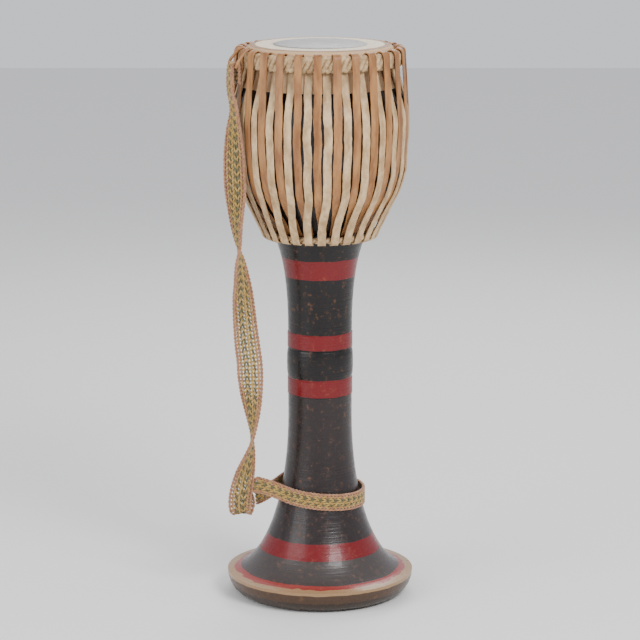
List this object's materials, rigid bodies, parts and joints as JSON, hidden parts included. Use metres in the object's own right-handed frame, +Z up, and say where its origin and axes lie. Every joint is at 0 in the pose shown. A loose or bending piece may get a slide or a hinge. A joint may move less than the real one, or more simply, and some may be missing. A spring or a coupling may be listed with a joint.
{
  "type": "goblet drum",
  "caption": "Tall one-headed goblet drum with a turned wooden shell, a skin laced to a ring under the bowl, and a plaited carrying strap.",
  "frame": {"origin": "centre of the foot's rest plane, on the drum's axis", "axes": "+Z up along the drum's axis to the skin, -Y towards the front, with the carrying strap at -X"},
  "size_m": [0.245, 0.2432, 0.7215],
  "materials": {
    "shell": "black lacquer with dark red bands, worn to bare wood at the foot's edge",
    "skin": "cream rawhide, browner towards the rim",
    "paste": "dry grey tuning paste with a low sheen",
    "braid": "twisted tan rawhide",
    "lacing": "flat rawhide thong, tan on one side and mottled cream on the other",
    "strap": "plaited cords in pinkish tan, mustard and olive"
  },
  "bodies": {
    "drum": {"shell": "shell", "drum_head": "skin", "tuning_paste": "paste", "rim_braid": "braid", "bottom_ring": "braid", "lacing_01": "lacing", "lacing_02": "lacing", "lacing_03": "lacing", "lacing_04": "lacing", "lacing_05": "lacing", "lacing_06": "lacing", "lacing_07": "lacing", "lacing_08": "lacing", "lacing_09": "lacing", "lacing_10": "lacing", "lacing_11": "lacing", "lacing_12": "lacing", "lacing_13": "lacing", "lacing_14": "lacing", "lacing_15": "lacing", "lacing_16": "lacing", "lacing_17": "lacing", "lacing_18": "lacing", "lacing_19": "lacing", "lacing_20": "lacing", "lacing_21": "lacing", "lacing_22": "lacing", "lacing_23": "lacing", "lacing_24": "lacing", "lacing_25": "lacing", "lacing_26": "lacing", "lacing_27": "lacing", "lacing_28": "lacing", "strap_hanger": "lacing", "carry_strap": "strap"},
    "noose": {"strap_noose": "strap"}
  },
  "joints": [
    {"name": "noose_slide", "type": "slide", "parent": "drum", "child": "noose", "axis": [0, 0, 1], "range_m": [0, 0.11], "deforming": ["carry_strap"]}
  ]
}
